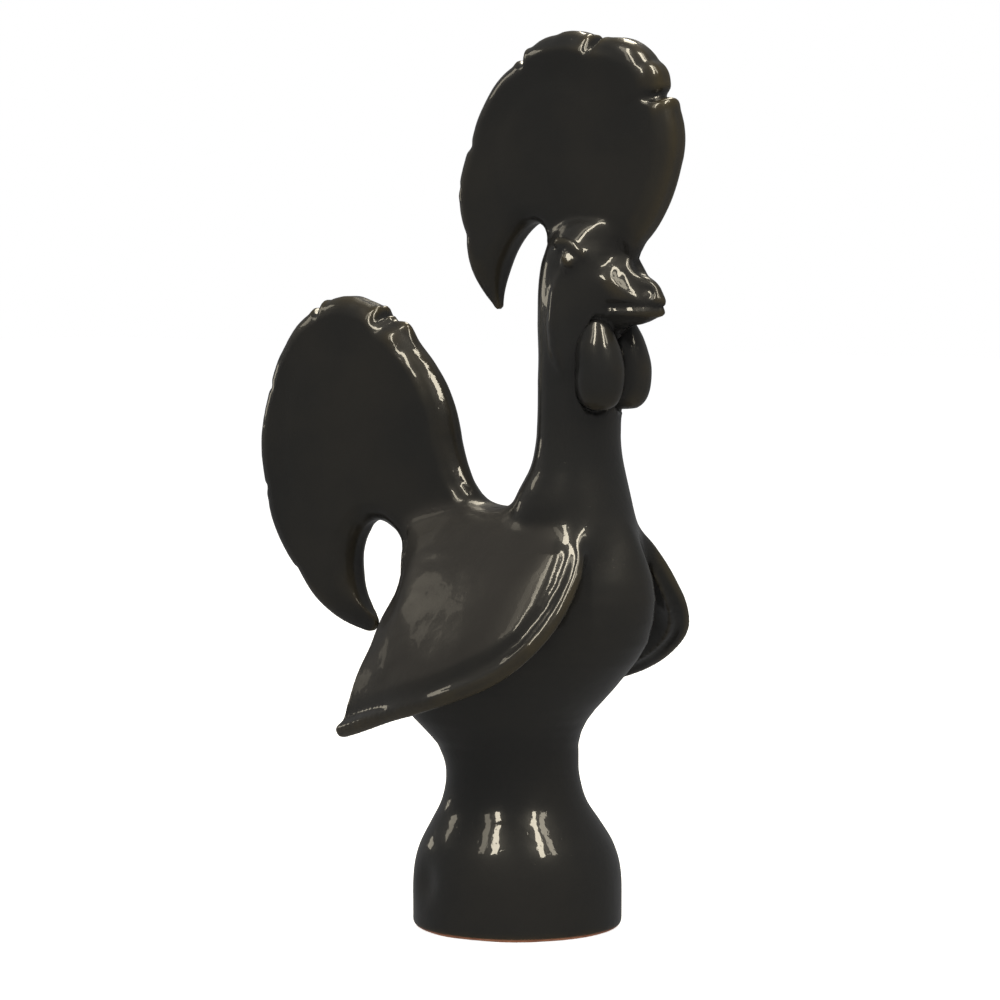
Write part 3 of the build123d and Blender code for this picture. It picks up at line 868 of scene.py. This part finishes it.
azimuth, base_elevation = math.radians(37.0), math.radians(11.0)
distance, focal, frame_size = 1.0, 3580.0, 1000.0
foot_across, foot_down = 517.5, 923.0
pitch = base_elevation - math.atan((foot_down - frame_size / 2) / focal)
yaw = math.atan((foot_across - frame_size / 2) / focal)
eye = distance * direction(azimuth, base_elevation)
flat = Matrix.Rotation(yaw, 3, "Z") @ Vector((-math.sin(azimuth), math.cos(azimuth), 0))
forward = flat * math.cos(pitch) - Vector((0, 0, math.sin(pitch)))
camera_data = bpy.data.cameras.new("camera")
camera_data.sensor_width = 36.0
camera_data.lens = focal * camera_data.sensor_width / frame_size
camera = bpy.data.objects.new("camera", camera_data)
camera.matrix_world = (
    Matrix.Translation(eye) @ forward.to_track_quat("-Z", "Y").to_matrix().to_4x4()
)
scene.collection.objects.link(camera)
scene.camera = camera
print("lens in mm", round(camera_data.lens, 1))

# %% [markdown]
# ## White sweep
# The picture has a pure white ground. More light would only wash out the black, so the white
# comes from the paint of the floor and the sky instead. Light Path tells which kind of ray has
# arrived: a camera ray meets white, and a mirror ray meets one soft grey from the floor to the
# sky, so that no horizon line shows in the gloss. The floor still adds what the lamps give it,
# and keeps the shadow.

# %% Floor and sky
white_added, mirror_tone, room_light = 0.80, 0.12, 0.30


def wired(node_tree, kind, place, plugs):
    """Add a shader node and plug outputs or numbers into its sockets."""
    node = add_node(node_tree.nodes, kind, place)
    for socket, value in plugs.items():
        if isinstance(value, (int, float)):
            node.inputs[socket].default_value = value
        else:
            node_tree.links.new(value, node.inputs[socket])
    return node.outputs[0]


def seen_by_ray(node_tree, lit, camera_white, add_lit):
    """A surface that is white to the camera, grey in mirrors and plainly lit otherwise."""
    emission, mix = "ShaderNodeEmission", "ShaderNodeMixShader"
    ray = add_node(node_tree.nodes, "ShaderNodeLightPath", (-200, -300)).outputs
    white = wired(node_tree, emission, (0, 200), {"Strength": camera_white})
    grey = wired(node_tree, emission, (0, -200), {"Strength": mirror_tone})
    if add_lit:
        white = wired(node_tree, "ShaderNodeAddShader", (200, 200), {0: lit, 1: white})
    to_camera = wired(node_tree, mix, (400, 0), {0: ray["Is Camera Ray"], 1: lit, 2: white})
    to_mirror = wired(node_tree, mix, (600, 0), {0: ray["Is Glossy Ray"], 1: to_camera, 2: grey})
    through = {0: ray["Is Transmission Ray"], 1: to_mirror, 2: white}
    return wired(node_tree, mix, (800, 0), through)


floor_mesh = bpy.data.meshes.new("floor")
reach = 4.0
floor_mesh.from_pydata(
    [(-reach, -reach, 0), (reach, -reach, 0), (reach, reach, 0), (-reach, reach, 0)],
    [], [(0, 1, 2, 3)],
)
floor = bpy.data.objects.new("floor", floor_mesh)
scene.collection.objects.link(floor)
floor_paint = bpy.data.materials.new("floor_paint")
floor_paint.use_nodes = True
floor_tree = floor_paint.node_tree
painted = floor_tree.nodes["Principled BSDF"]
painted.inputs["Base Color"].default_value = (0.8, 0.8, 0.8, 1)
painted.inputs["Roughness"].default_value = 0.9
painted.inputs["Specular IOR Level"].default_value = 0.0
floor_tree.links.new(
    seen_by_ray(floor_tree, painted.outputs["BSDF"], white_added, True),
    floor_tree.nodes["Material Output"].inputs["Surface"],
)
floor.data.materials.append(floor_paint)

studio = scene.world or bpy.data.worlds.new("studio")
scene.world = studio
studio.use_nodes = True
sky_tree = studio.node_tree
room = sky_tree.nodes["Background"]
room.inputs["Color"].default_value = (0.95, 0.97, 1.0, 1)
room.inputs["Strength"].default_value = room_light
sky_tree.links.new(
    seen_by_ray(sky_tree, room.outputs["Background"], 1.0, False),
    sky_tree.nodes["World Output"].inputs["Surface"],
)

# %% [markdown]
# ## Lamps
# Every highlight on the rooster is the picture of a lamp. The streaks on the pedestal come in
# two groups, so there are two tall lamps, one on each side of the camera, and each has a dimmer
# neighbour. Where the streaks stand on the round pedestal gives the lamps' directions, and
# their length gives how high the lamps reach. The tall lamps lean a little. Two dim cards far
# to the left give the near wing its soft patches, the higher one on the face and the low one
# near the tip. A lamp behind lights the top rims of the comb and tail. A brightness is given
# instead of a power, so a lamp keeps the same look when its size changes.

# %% Place the lamps
warm_white = (1.0, 0.91, 0.72)
lamp_distance, aim = 1.2, Vector((0, 0, 0.1))


def strip(name, compass, low, high, wide, brightness, lean=0.0):
    """A lamp at a compass angle, as wide and from as low to as high as given, in degrees."""
    data = bpy.data.lights.new(name, "AREA")
    data.shape = "RECTANGLE"
    data.size = 2 * lamp_distance * math.tan(math.radians(wide / 2))
    data.size_y = 2 * lamp_distance * math.tan(math.radians((high - low) / 2))
    data.energy = brightness * math.pi * data.size * data.size_y
    data.color = warm_white
    lamp = bpy.data.objects.new(name, data)
    place = lamp_distance * direction(math.radians(compass), math.radians((low + high) / 2))
    lamp.matrix_world = (
        Matrix.Translation(place + aim)
        @ (-place).to_track_quat("-Z", "Y").to_matrix().to_4x4()
        @ Matrix.Rotation(math.radians(lean), 4, "Z")
    )
    scene.collection.objects.link(lamp)
    print(f"{name}: {data.energy:.1f} W")


strip("left lamp", 3.0, 36.0, 76.0, 7.0, 16.0, lean=10.0)
strip("left fill", -16.0, 36.0, 72.0, 7.0, 3.0, lean=10.0)
strip("right lamp", 77.0, 36.0, 76.0, 7.0, 16.0, lean=-10.0)
strip("right fill", 95.0, 36.0, 74.0, 7.0, 6.0, lean=-10.0)
strip("side card", -76.0, 22.0, 38.0, 14.0, 2.4)
strip("low card", -91.0, 3.0, 9.0, 9.0, 2.0)
strip("back lamp", 205.0, 38.0, 76.0, 12.0, 9.0)

scene.view_settings.view_transform = "Standard"
